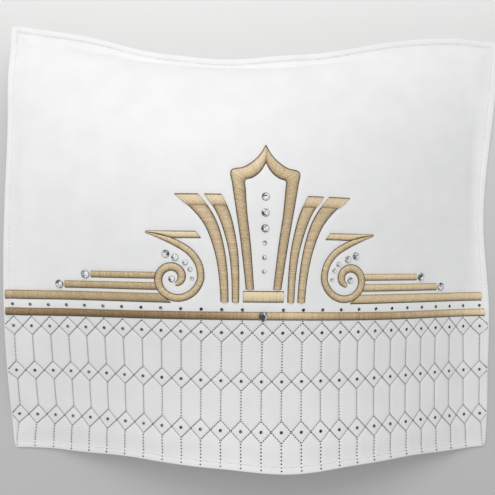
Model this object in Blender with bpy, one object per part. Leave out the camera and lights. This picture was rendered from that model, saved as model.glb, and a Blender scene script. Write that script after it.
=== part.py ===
"""Padded leatherette table cover with a quilted hem panel and gold satin-stitch ornament.

The cover is drafted as a flat pattern (s across, t from the front edge to the back edge, in
millimetres) and every piece is then laid over one mound-shaped surface, as the cover stands by
itself: the back and right edges lie flat and the front edge arches up.
Frame: metres, +X across the cover, +Y from the front edge to the back edge, +Z up.
The origin is under the middle of the cover's bounding box, on the surface that it lies on.
"""
import bisect
import math

import bmesh
import bpy
from mathutils import Vector

MM = 0.001

# ---- flat pattern, millimetres -------------------------------------------------------------
COVER_WIDTH = 540.0
COVER_HEIGHT = 460.0
HALF_WIDTH = COVER_WIDTH / 2
PANEL_SEAM = 151.0
TOPSTITCH_INSET = 7.0
BORDER_INSET = 12.0
INNER_COLUMNS = 22
QUILT_ROWS = 6
UPPER_ROWS = 12

# ---- layers, measured up from the underside of the lining ---------------------------------
GAP = 0.3
LINING = 0.6
LEATHER = 1.2
WADDING = 2.0
WADDING_MARGIN = 1.0
EDGE_ROLL = 0.9
FULL = LINING + GAP + WADDING + GAP + LEATHER

# ---- the mound: heights above the table on a net of five columns by four rows ---------------
COLUMN_STATIONS = (-1.0, -0.5, 0.0, 0.5, 1.0)
ROW_STATIONS = (0.0, 1 / 3, 2 / 3, 1.0)
FRONT_HEIGHTS = (0.0, 36.0, 69.0, 45.0, 0.0)
MID_FRONT_HEIGHTS = (24.0, 53.0, 69.0, 43.0, -3.0)
MID_BACK_HEIGHTS = (32.0, 73.0, 81.0, 51.0, -3.0)
BACK_HEIGHTS = (-8.0, -8.0, -8.0, -8.0, -8.0)
HEIGHT_ROWS = (FRONT_HEIGHTS, MID_FRONT_HEIGHTS, MID_BACK_HEIGHTS, BACK_HEIGHTS)
SETTLE = 3.0
STEP = 4.0

# ---- gold ornament --------------------------------------------------------------------------
STITCH_HEIGHT = 1.3
LOW_BAR = (147.0, 154.9)
LOW_BAR_SAG = 1.8
SAG_REACH = 180.0
LONG_BAR = (162.6, 171.6)
MIDDLE_BAR = (175.2, 182.4)
SHORT_BAR = (186.4, 192.8)
BAR_END = 265.5
BAR_END_LEFT = 267.5
LONG_BAR_START = (102.0, 91.4)
MIDDLE_BAR_START = (104.8, 107.0)
SHORT_BAR_START = (107.0, 105.4)
MIDDLE_BAR_END = 200.5
SHORT_BAR_END = 171.5
SCROLL_CENTRE = (87.2, 187.5)
SCROLL_RADIUS = 26.5
SCROLL_DECAY = 0.188
SCROLL_TURN = 430.0
WEDGE_TOP = 232.8
WEDGE_BOTTOM = 226.6
PLINTH = (19.5, 164.6, 175.4)

# ---- stones: (s, t, radius) on the right-hand side or on the middle line ---------------------
STONE_HEIGHT = 2.2
COLUMN_STONES = ((266.5, 4.0), (251.5, 4.0), (236.5, 4.0), (222.5, 2.4), (208.5, 2.4), (195.0, 2.2))
ARC_STONES = ((94.5, 211.0, 4.0), (85.5, 207.6, 3.7), (75.6, 202.6, 2.8), (71.0, 196.2, 2.5), (69.0, 187.0, 2.1))
CURL_STONE = (88.8, 186.4, 3.4)
MIDDLE_BAR_STONE = (206.6, 178.8, 4.6)
SHORT_BAR_STONE = (177.6, 189.6, 4.7)
LOW_BAR_STONE = (0.0, 151.0, 4.7)
STONE_SIDES = 12


# ---- the draped surface ---------------------------------------------------------------------
def weights(x, stations):
    """Interpolation weights of the polynomial through the stations, at x."""
    result = []
    for i, here in enumerate(stations):
        value = 1.0
        for j, other in enumerate(stations):
            if j != i:
                value *= (x - other) / (here - other)
        result.append(value)
    return result


def settle(h):
    """Bring heights below the table up to it, with a short round transition."""
    if h <= 0.0:
        return 0.0
    if h < 2 * SETTLE:
        return h * h / (4 * SETTLE)
    return h - SETTLE


def height(s, t):
    across = weights(s / HALF_WIDTH, COLUMN_STATIONS)
    along = weights(t / COVER_HEIGHT, ROW_STATIONS)
    total = 0.0
    for row, w_row in zip(HEIGHT_ROWS, along):
        for value, w_col in zip(row, across):
            total += value * w_row * w_col
    return settle(total)


def run_length(slope_of, start, end):
    """Horizontal run of a strip that keeps its flat length while it rises and falls."""
    steps = max(2, math.ceil(abs(end - start) / STEP))
    width = (end - start) / steps
    total = 0.0
    for k in range(steps):
        slope = slope_of(start + (k + 0.5) * width)
        total += math.sqrt(max(0.0, 1.0 - slope * slope)) * width
    return total


def laid(s, t):
    """The point of the leather's outer face that lies at (s, t) of the flat pattern."""
    def slope_s(a):
        return height(a + 0.5, t) - height(a - 0.5, t)

    def slope_t(a):
        return height(s, a + 0.5) - height(s, a - 0.5)

    return Vector((run_length(slope_s, 0.0, s), run_length(slope_t, COVER_HEIGHT / 2, t), height(s, t)))


def stations(first, last, count):
    return [first + (last - first) * k / count for k in range(count + 1)]


EDGE_RINGS = [0.0, 2.5, TOPSTITCH_INSET]
S_RIGHT = [HALF_WIDTH - e for e in reversed(EDGE_RINGS)]
S_LEFT = [-HALF_WIDTH + e for e in EDGE_RINGS]
S_INNER = stations(-HALF_WIDTH + BORDER_INSET, HALF_WIDTH - BORDER_INSET, INNER_COLUMNS)
S_LINES = S_LEFT + S_INNER + S_RIGHT
T_QUILT = EDGE_RINGS + stations(BORDER_INSET, PANEL_SEAM - GAP / 2, QUILT_ROWS)
T_UPPER = stations(PANEL_SEAM + GAP / 2, COVER_HEIGHT - BORDER_INSET, UPPER_ROWS)
T_UPPER = T_UPPER + [COVER_HEIGHT - e for e in reversed(EDGE_RINGS)]
T_FRONT = T_QUILT + T_UPPER
T_WHOLE = T_QUILT[:-1] + [PANEL_SEAM] + T_UPPER[1:]

OUTER_FACE = {}
NORMALS = {}


def outer_face(s, t):
    if (s, t) not in OUTER_FACE:
        OUTER_FACE[s, t] = laid(s, t)
    return OUTER_FACE[s, t]


def normal(s, t):
    if (s, t) not in NORMALS:
        across = laid(s + 1.0, t) - laid(s - 1.0, t)
        along = laid(s, t + 1.0) - laid(s, t - 1.0)
        NORMALS[s, t] = across.cross(along).normalized()
    return NORMALS[s, t]


def edge_distance(s, t):
    return min(HALF_WIDTH - abs(s), t, COVER_HEIGHT - t)


def fullness(s, t):
    """0 in the stitched border, 1 where the wadding fills the cover."""
    x = (edge_distance(s, t) - TOPSTITCH_INSET) / (BORDER_INSET - TOPSTITCH_INSET)
    return min(1.0, max(0.0, x))


def leather_bottom(s, t):
    return LINING + GAP + (WADDING + GAP) * fullness(s, t)


def leather_top(s, t):
    roll = EDGE_ROLL if 0.0 < edge_distance(s, t) < TOPSTITCH_INSET else 0.0
    return leather_bottom(s, t) + LEATHER + roll


def raised(s, t, offset):
    """The point at an offset above the lining's underside, which lies FULL below the outer face."""
    return outer_face(s, t) + normal(s, t) * (offset - FULL) + Vector((0.0, 0.0, FULL))


def on_leather(s, t, offset):
    """A point above the leather's faceted top face, found on the triangle that holds (s, t)."""
    i = min(max(bisect.bisect_right(S_LINES, s) - 1, 0), len(S_LINES) - 2)
    j = min(max(bisect.bisect_right(T_FRONT, t) - 1, 0), len(T_FRONT) - 2)
    s0, s1 = S_LINES[i], S_LINES[i + 1]
    t0, t1 = T_FRONT[j], T_FRONT[j + 1]
    a = (s - s0) / (s1 - s0)
    b = (t - t0) / (t1 - t0)
    if a >= b:
        corners = (((s0, t0), 1 - a), ((s1, t0), a - b), ((s1, t1), b))
    else:
        corners = (((s0, t0), 1 - b), ((s0, t1), b - a), ((s1, t1), a))
    point = Vector((0.0, 0.0, 0.0))
    for (cs, ct), share in corners:
        point += raised(cs, ct, leather_top(cs, ct) + offset) * share
    return point


# ---- object helpers -------------------------------------------------------------------------
def make_material(name, colour, roughness, metallic=0.0):
    material = bpy.data.materials.new(name)
    material.use_nodes = True
    shader = material.node_tree.nodes["Principled BSDF"]
    shader.inputs["Base Color"].default_value = (*colour, 1.0)
    shader.inputs["Roughness"].default_value = roughness
    shader.inputs["Metallic"].default_value = metallic
    material.diffuse_color = (*colour, 1.0)
    return material


def make_object(name, bm, material, parent):
    """Turn a bmesh in millimetres into an object whose origin is at the piece's middle."""
    bmesh.ops.recalc_face_normals(bm, faces=bm.faces)
    if bm.calc_volume(signed=True) < 0:
        bmesh.ops.reverse_faces(bm, faces=bm.faces)
    low = [min(v.co[k] for v in bm.verts) for k in range(3)]
    high = [max(v.co[k] for v in bm.verts) for k in range(3)]
    middle = Vector([(low[k] + high[k]) / 2 for k in range(3)])
    bmesh.ops.translate(bm, vec=-middle, verts=bm.verts)
    bmesh.ops.scale(bm, vec=(MM, MM, MM), verts=bm.verts)
    mesh = bpy.data.meshes.new(name)
    bm.to_mesh(mesh)
    bm.free()
    mesh.materials.append(material)
    obj = bpy.data.objects.new(name, mesh)
    bpy.context.collection.objects.link(obj)
    obj.parent = parent
    obj.location = middle * MM
    return obj


def sheet(name, s_lines, t_lines, bottom, top, material, parent):
    """A cloth or leather sheet: a grid at the bottom offset, extruded to the top offset."""
    bm = bmesh.new()
    grid = {}
    for j, t in enumerate(t_lines):
        for i, s in enumerate(s_lines):
            grid[i, j] = bm.verts.new(raised(s, t, bottom(s, t)))
    for j in range(len(t_lines) - 1):
        for i in range(len(s_lines) - 1):
            bm.faces.new((grid[i, j], grid[i + 1, j], grid[i + 1, j + 1]))
            bm.faces.new((grid[i, j], grid[i + 1, j + 1], grid[i, j + 1]))
    order = [(s, t) for t in t_lines for s in s_lines]
    bm.verts.index_update()
    lower = list(bm.verts)
    made = bmesh.ops.extrude_face_region(bm, geom=list(bm.faces), use_keep_orig=True)
    upper = [item for item in made["geom"] if isinstance(item, bmesh.types.BMVert)]
    by_place = {}
    for v, place in zip(lower, order):
        by_place[tuple(round(c, 6) for c in v.co)] = place
    for v in upper:
        s, t = by_place[tuple(round(c, 6) for c in v.co)]
        v.co = raised(s, t, top(s, t))
    return make_object(name, bm, material, parent)


PAD_PROFILE = ((0.0, 0.0), (0.0, 0.45), (0.17, 0.86), (0.5, 1.0), (0.83, 0.86), (1.0, 0.45), (1.0, 0.0), (0.5, 0.0))


def padded_band(name, pairs, material, parent):
    """A satin-stitched band: a low rounded section carried along pairs of edge points."""
    bm = bmesh.new()
    loops = []
    for (ls, lt), (rs, rt) in pairs:
        wide = math.hypot(rs - ls, rt - lt)
        tall = min(STITCH_HEIGHT, 0.35 + wide * 0.45)
        loop = []
        for across, up in PAD_PROFILE:
            s = ls + (rs - ls) * across
            t = lt + (rt - lt) * across
            loop.append(bm.verts.new(on_leather(s, t, GAP + tall * up)))
        loops.append(loop)
    count = len(PAD_PROFILE)
    for here, there in zip(loops, loops[1:]):
        for k in range(count):
            n = (k + 1) % count
            bm.faces.new((here[k], here[n], there[n], there[k]))
    bm.faces.new(loops[0])
    bm.faces.new(list(reversed(loops[-1])))
    bmesh.ops.triangulate(bm, faces=list(bm.faces))
    return make_object(name, bm, material, parent)


def bar(name, start, end, t_range, material, parent, side=1, sag=0.0):
    """A straight bar; its start and end are (s at the lower edge, s at the upper edge)."""
    def pair(low_s, high_s):
        drop = sag * math.sin(min(1.0, abs(low_s) / SAG_REACH) * math.pi / 2) ** 2
        return ((side * low_s, t_range[0] - drop), (side * high_s, t_range[1] - drop))

    inside = [side * s for s in S_LINES if max(start) + 2.0 < side * s < min(end) - 2.0]
    pairs = [pair(start[0], start[1])]
    for s in sorted(inside):
        pairs.append(pair(s, s))
    pairs.append(pair(end[0], end[1]))
    return padded_band(name, pairs, material, parent)


def smooth_line(points, per_span):
    """Points along a smooth curve through the given points; each item may hold extra values."""
    result = []
    last = len(points) - 1
    for i in range(last):
        p0 = points[max(i - 1, 0)]
        p1 = points[i]
        p2 = points[i + 1]
        p3 = points[min(i + 2, last)]
        for k in range(per_span):
            f = k / per_span
            item = []
            for a, b, c, d in zip(p0, p1, p2, p3):
                value = 2 * b + (c - a) * f
                value += (2 * a - 5 * b + 4 * c - d) * f * f
                value += (3 * b - a - 3 * c + d) * f * f * f
                item.append(value / 2)
            result.append(tuple(item))
    result.append(tuple(points[-1]))
    return result


def edge_pairs(line, side):
    """Left and right edge points of a band, from (s, t, half width) along its middle line."""
    pairs = []
    last = len(line) - 1
    for i, (s, t, half) in enumerate(line):
        before = line[max(i - 1, 0)]
        after = line[min(i + 1, last)]
        ds = after[0] - before[0]
        dt = after[1] - before[1]
        size = math.hypot(ds, dt)
        ns = -dt / size
        nt = ds / size
        pairs.append(((side * (s + ns * half), t + nt * half), (side * (s - ns * half), t - nt * half)))
    return pairs


def scroll_line():
    """Middle line of a volute: it leaves the wedge's tip, swings inwards and winds up."""
    lead = [(114.0, 231.5, 0.3), (102.5, 228.3, 1.5), (91.0, 224.4, 2.7), (80.2, 219.2, 3.1), (73.0, 214.6, 3.2)]
    lead += [(67.6, 209.2, 3.3), (63.4, 202.6, 3.3), (61.2, 195.6, 3.3)]
    turn = []
    angle = 0.0
    while angle <= SCROLL_TURN + 0.1:
        radius = SCROLL_RADIUS * math.exp(-SCROLL_DECAY * math.radians(angle))
        s = SCROLL_CENTRE[0] - radius * math.cos(math.radians(angle))
        t = SCROLL_CENTRE[1] - radius * math.sin(math.radians(angle))
        swell = 0.5 * min(1.0, angle / 180.0)
        fade = max(0.0, (angle - 330.0) / (SCROLL_TURN - 330.0))
        turn.append((s, t, 3.3 + swell - 2.1 * fade * fade))
        angle += SCROLL_TURN / 28
    return smooth_line(lead + turn[:2], 2)[:-3] + turn


def plume(name, points, top, side, material, parent):
    """A flared plume, cut level at its foot and its head; points are (s, t, half width)."""
    line = smooth_line(points, 3)
    pairs = []
    for s, t, half in line:
        pairs.append(((side * (s - half), min(t, top)), (side * (s + half), min(t, top))))
    return padded_band(name, pairs, material, parent)


def flame_half(name, side, material, parent):
    """Half of the pointed ogee frame round the column of stones."""
    outer = [(0.4, 316.0), (5.0, 307.5), (12.0, 300.0), (21.5, 294.0), (33.0, 290.5), (31.5, 277.0)]
    outer += [(27.5, 252.0), (23.0, 224.0), (19.5, 198.0), (17.0, 177.4)]
    inner = [(0.4, 299.0), (3.6, 292.6), (8.2, 287.4), (13.4, 284.0), (19.6, 281.4), (19.2, 272.0)]
    inner += [(17.4, 250.0), (14.0, 224.0), (11.4, 198.0), (9.6, 177.4)]
    both = smooth_line([(a[0], a[1], b[0], b[1]) for a, b in zip(inner, outer)], 3)
    pairs = [((side * a, b), (side * c, d)) for a, b, c, d in both]
    return padded_band(name, pairs, material, parent)


def stone(name, s, t, radius, lift, material, parent):
    """A flat-backed faceted stone: a short girdle and a cone cut off by its table."""
    bm = bmesh.new()
    base = on_leather(s, t, GAP + lift)
    across = (on_leather(s + 2.0, t, 0.0) - on_leather(s - 2.0, t, 0.0)).normalized()
    along = (on_leather(s, t + 2.0, 0.0) - on_leather(s, t - 2.0, 0.0)).normalized()
    up = across.cross(along).normalized()
    along = up.cross(across)
    rings = []
    rise = STONE_HEIGHT * radius / 4.0
    for share, level in ((0.92, 0.0), (1.0, rise * 0.3), (0.55, rise)):
        ring = []
        for k in range(STONE_SIDES):
            angle = 2 * math.pi * k / STONE_SIDES
            offset = across * math.cos(angle) + along * math.sin(angle)
            ring.append(bm.verts.new(base + offset * radius * share + up * (level + 0.12)))
        rings.append(ring)
    for low, high in zip(rings, rings[1:]):
        for k in range(STONE_SIDES):
            n = (k + 1) % STONE_SIDES
            bm.faces.new((low[k], low[n], high[n], high[k]))
    bm.faces.new(list(reversed(rings[0])))
    bm.faces.new(rings[-1])
    return make_object(name, bm, material, parent)


# ---- build ----------------------------------------------------------------------------------
for old in list(bpy.data.objects):
    bpy.data.objects.remove(old, do_unlink=True)

LEATHER_LOOK = make_material("white_leatherette", (0.84, 0.85, 0.84), 0.45)
QUILT_LOOK = make_material("quilted_leatherette", (0.78, 0.79, 0.77), 0.5)
LINING_LOOK = make_material("lining_satin", (0.82, 0.81, 0.78), 0.55)
WADDING_LOOK = make_material("wadding", (0.88, 0.88, 0.86), 0.95)
GOLD_LOOK = make_material("gold_thread", (0.52, 0.36, 0.17), 0.42)
STONE_LOOK = make_material("crystal", (0.86, 0.88, 0.9), 0.04)

root = bpy.data.objects.new("cover_root", None)
bpy.context.collection.objects.link(root)

sheet("lining", S_LINES, T_WHOLE, lambda s, t: 0.0, lambda s, t: LINING, LINING_LOOK, root)


def wadding_bottom(s, t):
    return LINING + GAP


def wadding_top(s, t):
    return LINING + GAP + WADDING * (0.5 if edge_distance(s, t) < BORDER_INSET + WADDING_MARGIN else 1.0)


WADDING_T = T_WHOLE[len(EDGE_RINGS):-len(EDGE_RINGS)]
sheet("wadding", S_INNER, WADDING_T, wadding_bottom, wadding_top, WADDING_LOOK, root)
sheet("front_panel_upper", S_LINES, T_UPPER, leather_bottom, leather_top, LEATHER_LOOK, root)
sheet("front_panel_quilted", S_LINES, T_QUILT, leather_bottom, leather_top, QUILT_LOOK, root)

bar("gold_bar_low", (-BAR_END_LEFT, -BAR_END_LEFT), (BAR_END, BAR_END), LOW_BAR, GOLD_LOOK, root, sag=LOW_BAR_SAG)
for side, word in ((-1, "left"), (1, "right")):
    start = (LONG_BAR_START[1], LONG_BAR_START[0])
    far = BAR_END if side > 0 else BAR_END_LEFT
    bar("gold_bar_long_" + word, start, (far, far), LONG_BAR, GOLD_LOOK, root, side)
    end = (MIDDLE_BAR_END, MIDDLE_BAR_END)
    bar("gold_bar_middle_" + word, MIDDLE_BAR_START, end, MIDDLE_BAR, GOLD_LOOK, root, side)
    end = (SHORT_BAR_END, SHORT_BAR_END)
    bar("gold_bar_short_" + word, SHORT_BAR_START, end, SHORT_BAR, GOLD_LOOK, root, side)
    padded_band("scroll_" + word, edge_pairs(scroll_line(), side), GOLD_LOOK, root)
    wedge = []
    for f in (0.0, 0.25, 0.5, 0.6, 0.7, 0.85, 1.0):
        upper = 66.0 + 46.5 * f
        lower = 61.0 + 51.3 * f
        dip = WEDGE_BOTTOM if lower < 86.0 else WEDGE_BOTTOM + (lower - 86.0) * 0.235
        wedge.append(((side * upper, WEDGE_TOP), (side * lower, min(dip, WEDGE_TOP - 0.35))))
    padded_band("scroll_wedge_" + word, wedge, GOLD_LOOK, root)
    flame_half("flame_" + word, side, GOLD_LOOK, root)
    inner_plume = [(27.0, 164.6, 3.2), (27.6, 190.0, 3.5), (30.0, 215.0, 4.2), (36.0, 240.0, 5.4)]
    inner_plume += [(42.5, 256.0, 6.6), (50.0, 268.0, 7.8)]
    plume("plume_inner_" + word, inner_plume, 268.0, side, GOLD_LOOK, root)
    outer_plume = [(37.5, 164.6, 3.6), (39.0, 190.0, 4.0), (43.0, 215.0, 4.8), (50.5, 238.0, 6.2)]
    outer_plume += [(61.0, 254.0, 8.4), (75.0, 268.0, 11.0)]
    plume("plume_outer_" + word, outer_plume, 268.0, side, GOLD_LOOK, root)
    for k, (s, t, radius) in enumerate(ARC_STONES):
        stone("stone_arc_%s_%d" % (word, k + 1), side * s, t, radius, 0.0, STONE_LOOK, root)
    places = (("curl", CURL_STONE), ("middle_bar", MIDDLE_BAR_STONE), ("short_bar", SHORT_BAR_STONE))
    for kind, (s, t, radius) in places:
        stone("stone_%s_%s" % (kind, word), side * s, t, radius, 0.0, STONE_LOOK, root)

PLINTH_HALF, PLINTH_LOW, PLINTH_HIGH = PLINTH
plinth_start = (-PLINTH_HALF, -PLINTH_HALF)
plinth_end = (PLINTH_HALF, PLINTH_HALF)
bar("plinth", plinth_start, plinth_end, (PLINTH_LOW, PLINTH_HIGH), GOLD_LOOK, root)
for k, (t, radius) in enumerate(COLUMN_STONES):
    stone("stone_column_%d" % (k + 1), 0.0, t, radius, 0.0, STONE_LOOK, root)
stone("stone_low_bar", LOW_BAR_STONE[0], LOW_BAR_STONE[1], LOW_BAR_STONE[2], STITCH_HEIGHT, STONE_LOOK, root)

# ---- put the origin under the middle of the cover --------------------------------------------
bpy.context.view_layer.update()
corners = []
for obj in bpy.data.objects:
    if obj.type == "MESH":
        corners += [obj.matrix_world @ v.co for v in obj.data.vertices]
middle_x = (min(c.x for c in corners) + max(c.x for c in corners)) / 2
middle_y = (min(c.y for c in corners) + max(c.y for c in corners)) / 2
root.location = (-middle_x, -middle_y, 0.0)
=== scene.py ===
"""Padded leatherette table cover: a quilted front panel, gold satin stitch and cut stones.

Every piece is drafted on the cover's flat pattern (s across, t from the front edge to the back
edge, offset above the lining's underside, all in millimetres) and then laid over the mound that
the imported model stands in. Near the edges it differs from that model by up to 9 mm: the edges are
let out in soft waves, and the quilting leans sideways towards the front corners.
"""
import math

import bpy
import numpy as np
from mathutils import Matrix, Quaternion, Vector


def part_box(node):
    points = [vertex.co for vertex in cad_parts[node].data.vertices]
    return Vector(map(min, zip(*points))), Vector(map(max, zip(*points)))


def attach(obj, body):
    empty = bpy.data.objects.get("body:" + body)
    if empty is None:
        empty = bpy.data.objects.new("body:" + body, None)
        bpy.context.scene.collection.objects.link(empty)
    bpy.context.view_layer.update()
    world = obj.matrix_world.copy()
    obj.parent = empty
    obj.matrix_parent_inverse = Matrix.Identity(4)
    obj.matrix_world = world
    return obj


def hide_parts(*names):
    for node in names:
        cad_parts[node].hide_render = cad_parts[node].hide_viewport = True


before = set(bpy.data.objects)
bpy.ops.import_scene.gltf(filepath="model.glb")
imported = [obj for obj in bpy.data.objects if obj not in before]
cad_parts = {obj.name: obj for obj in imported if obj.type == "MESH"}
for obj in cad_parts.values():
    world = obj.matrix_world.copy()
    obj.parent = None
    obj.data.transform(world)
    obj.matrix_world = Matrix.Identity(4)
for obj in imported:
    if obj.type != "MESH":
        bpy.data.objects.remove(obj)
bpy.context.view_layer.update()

MM = 0.001
RNG = np.random.default_rng(7)
FINE = 1.0
SIDES = ((-1, "left"), (1, "right"))

# ---- flat pattern and layers, millimetres (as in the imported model) -----------
WIDTH, HEIGHT = 540.0, 460.0
HALF = WIDTH / 2
SEAM = 151.0
LINING, GAP, WADDING, LEATHER = 0.6, 0.3, 2.0, 1.2
FULL = LINING + GAP + WADDING + GAP + LEATHER

# The mound's height at stations across (shares of the half width) and along (shares of the height).
COLUMN_STATIONS = (-1.0, -0.5, 0.0, 0.5, 1.0)
ROW_STATIONS = (0.0, 1 / 3, 2 / 3, 1.0)
HEIGHT_ROWS = (
    (0.0, 36.0, 69.0, 45.0, 0.0),
    (24.0, 53.0, 69.0, 43.0, -3.0),
    (32.0, 73.0, 81.0, 51.0, -3.0),
    (-8.0, -8.0, -8.0, -8.0, -8.0),
)
SETTLE = 3.0

# Where the edges are let out: (middle of the wave, its reach, how far it stands out), and how deep
# each wave reaches into the cover. The lean moves the quilting sideways near the front edge.
FRONT_WAVES = ((-206.0, 80.0, 3.9), (30.0, 75.0, 3.3), (232.0, 75.0, 3.0))
BACK_WAVES = ((-180.0, 78.0, 3.0), (-78.0, 75.0, 4.9), (3.0, 78.0, 5.4), (160.0, 85.0, 1.8),
              (262.0, 40.0, -3.2))
LEFT_WAVES = ((408.0, 85.0, 2.7),)
RIGHT_WAVES = ((365.0, 130.0, 4.2), (158.0, 90.0, 3.1))
FRONT_DEPTH, BACK_DEPTH, SIDE_DEPTH = 50.0, 90.0, 20.0
LEAN_WAVES = ((-225.0, 150.0, -8.8), (250.0, 150.0, 6.8))
LEAN_MARGIN = 12.0

# ---- quilting and ornament ---------------------------------------------------
CELL = 20.0
DIAMOND = 10.0
DIAMOND_ROWS = (36.0, 84.9, 133.8)
COLUMNS = range(-13, 14)
BAND_STONE_T = 157.0
QUILT_PULL, QUILT_PULL_REACH = 0.6, 1.7
EDGE_ROLL = 6.0
TOPSTITCH = 6.7
ROLL_MIDDLE, HEM_TOP, HEM_TUCKED, HEM_RISE = 1.45, 2.75, 1.75, 18.0
LOW_BAR = (147.0, 154.9)
LOW_BAR_SAG, SAG_REACH = 1.8, 180.0
LONG_BAR, LONG_BAR_START = (162.6, 171.6), (90.0, 102.0)
MIDDLE_BAR, MIDDLE_BAR_START, MIDDLE_BAR_END = (175.2, 182.4), (103.9, 106.2), 200.5
SHORT_BAR, SHORT_BAR_START, SHORT_BAR_END = (186.4, 192.8), (106.3, 104.6), 171.5
LONG_BAR_END, LOW_BAR_END, BAR_END_LEFT = 261.8, 264.5, 267.5
PLINTH, PLINTH_HALF = (164.6, 175.4), 19.5
STITCH_HEIGHT = 1.3
PADDING_PUFF = 0.4
SCROLL_CENTRE = (87.2, 187.5)
SCROLL_RADIUS, SCROLL_DECAY, SCROLL_TURN = 26.5, 0.188, 430.0
COLUMN_STONES = ((266.5, 4.0), (251.5, 4.0), (236.5, 4.0), (222.5, 2.4), (208.5, 2.4), (195.0, 2.2))
ARC_STONES = ((94.5, 211.0, 4.0), (85.5, 207.6, 3.7), (75.6, 202.6, 2.8), (71.0, 196.2, 2.5),
              (69.0, 187.0, 2.1))
CURL_STONE = (88.8, 186.4, 3.4)
MIDDLE_BAR_STONE = (206.6, 178.8, 4.6)
SHORT_BAR_STONE = (177.6, 189.6, 4.7)
LOW_BAR_STONE, LOW_BAR_STONE_LIFT = (0.0, 151.0, 4.7), 1.2
SMALL_STONE = 1.75

# ---- camera ------------------------------------------------------------------
CAMERA_PLACE = (-42.3, -18.0, 554.3)
CAMERA_TURN = (-0.72, 3.13, -0.71)
FOCAL_PIXELS, PICTURE_PIXELS, SENSOR = 500.0, 495.0, 36.0


# ---- the draped surface ------------------------------------------------------
def weights(x, stations):
    """The share of each station in a smooth curve through all of them."""
    result = []
    for i, here in enumerate(stations):
        value = np.ones_like(x)
        for j, other in enumerate(stations):
            if j != i:
                value = value * (x - other) / (here - other)
        result.append(value)
    return result


def settle(h):
    """The mound's height above the floor, with a soft foot where it meets the floor."""
    return np.where(h <= 0, 0, np.where(h < 2 * SETTLE, h * h / (4 * SETTLE), h - SETTLE))


# The drape is worked out on a 1 mm net that goes PAD millimetres past the cover's edge.
PAD = 6
S_AXIS = np.arange(-HALF - PAD, HALF + PAD + 0.5)
T_AXIS = np.arange(-PAD, HEIGHT + PAD + 0.5)


def drape():
    """Points and normals of the outer face on a 1 mm net; no strip is stretched by the mound."""
    across = weights(S_AXIS / HALF, COLUMN_STATIONS)
    along = weights(T_AXIS / HEIGHT, ROW_STATIONS)
    z = sum(h * np.outer(a, b) for row, b in zip(HEIGHT_ROWS, along) for h, a in zip(row, across))
    z = settle(z)
    run_s = np.sqrt(np.maximum(0, 1 - np.gradient(z, axis=0) ** 2))
    run_t = np.sqrt(np.maximum(0, 1 - np.gradient(z, axis=1) ** 2))
    x, y = np.zeros_like(z), np.zeros_like(z)
    x[1:] = np.cumsum((run_s[1:] + run_s[:-1]) / 2, axis=0)
    y[:, 1:] = np.cumsum((run_t[:, 1:] + run_t[:, :-1]) / 2, axis=1)
    x -= x[int(HALF) + PAD]
    y -= y[:, [int(HEIGHT / 2) + PAD]]
    points = np.stack([x, y, z], axis=2)
    normals = np.cross(np.gradient(points, axis=0), np.gradient(points, axis=1))
    normals /= np.linalg.norm(normals, axis=2, keepdims=True)
    points[..., 2] += FULL
    lining_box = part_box("lining")
    core = (slice(PAD, -PAD), slice(PAD, -PAD))
    layers = [points[core] - normals[core] * (FULL - up) for up in (0.0, LINING)]
    for k in range(2):
        low, high = min(f[..., k].min() for f in layers), max(f[..., k].max() for f in layers)
        shift = (lining_box[0][k] + lining_box[1][k]) / 2 / MM - (low + high) / 2
        points[..., k] += shift
    return points, normals


POINTS, NORMALS = drape()


def net(field, s, t):
    """A field of the 1 mm net, between its points."""
    a = np.clip(s - S_AXIS[0], 0, len(S_AXIS) - 1.001)
    b = np.clip(t - T_AXIS[0], 0, len(T_AXIS) - 1.001)
    i, j = a.astype(int), b.astype(int)
    a, b = a - i, b - j
    if field.ndim == 3:
        a, b = a[..., None], b[..., None]
    low = field[i, j] * (1 - a) + field[i + 1, j] * a
    high = field[i, j + 1] * (1 - a) + field[i + 1, j + 1] * a
    return low * (1 - b) + high * b


def let_out(place, inward, waves, depth):
    """How far an edge stands out past its straight line, in soft waves that die away inward."""
    total = 0.0
    for centre, reach, most in waves:
        turn = math.pi * np.clip((place - centre) / reach, -1, 1)
        total = total + most * 0.5 * (1 + np.cos(turn))
    return total * (1 - smooth(inward / depth))


def lay(s, t, offset):
    """Flat-pattern places, and offsets above the underside, to points in metres."""
    s, t, offset = np.broadcast_arrays(*(np.asarray(v, float) for v in (s, t, offset)))
    s = s + let_out(s, t, LEAN_WAVES, FRONT_DEPTH) * smooth((HALF - np.abs(s)) / LEAN_MARGIN)
    wide = (let_out(t, HALF - s, RIGHT_WAVES, SIDE_DEPTH)
            - let_out(t, HALF + s, LEFT_WAVES, SIDE_DEPTH))
    tall = (let_out(s, HEIGHT - t, BACK_WAVES, BACK_DEPTH)
            - let_out(s, t, FRONT_WAVES, FRONT_DEPTH))
    s, t = s + wide, t + tall
    return (net(POINTS, s, t) + net(NORMALS, s, t) * (offset[..., None] - FULL)) * MM


# ---- the skin: how high the leather's outer face stands ----------------------
def smooth(x):
    x = np.clip(x, 0, 1)
    return x * x * (3 - 2 * x)


def edge_distance(s, t):
    return np.minimum(HALF - np.abs(s), np.minimum(t, HEIGHT - t))


def stitch_distance(s, t):
    """Distance to the nearest quilting line."""
    column = np.abs((s + CELL / 2) % CELL - CELL / 2)
    nearest = np.full(np.shape(t), 1e3)
    for row in DIAMOND_ROWS:
        nearest = np.minimum(nearest, np.abs(t - row))
    to_diamond = np.abs(column + nearest - DIAMOND) / math.sqrt(2)
    to_line = np.hypot(column, np.maximum(0, DIAMOND - nearest))
    return np.where(nearest <= DIAMOND, np.minimum(to_diamond, to_line), column)


WAVES = [(RNG.uniform(-1, 1), RNG.uniform(-1, 1), RNG.uniform(0, 6.28), RNG.uniform(34, 90))
         for _ in range(14)]


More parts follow.
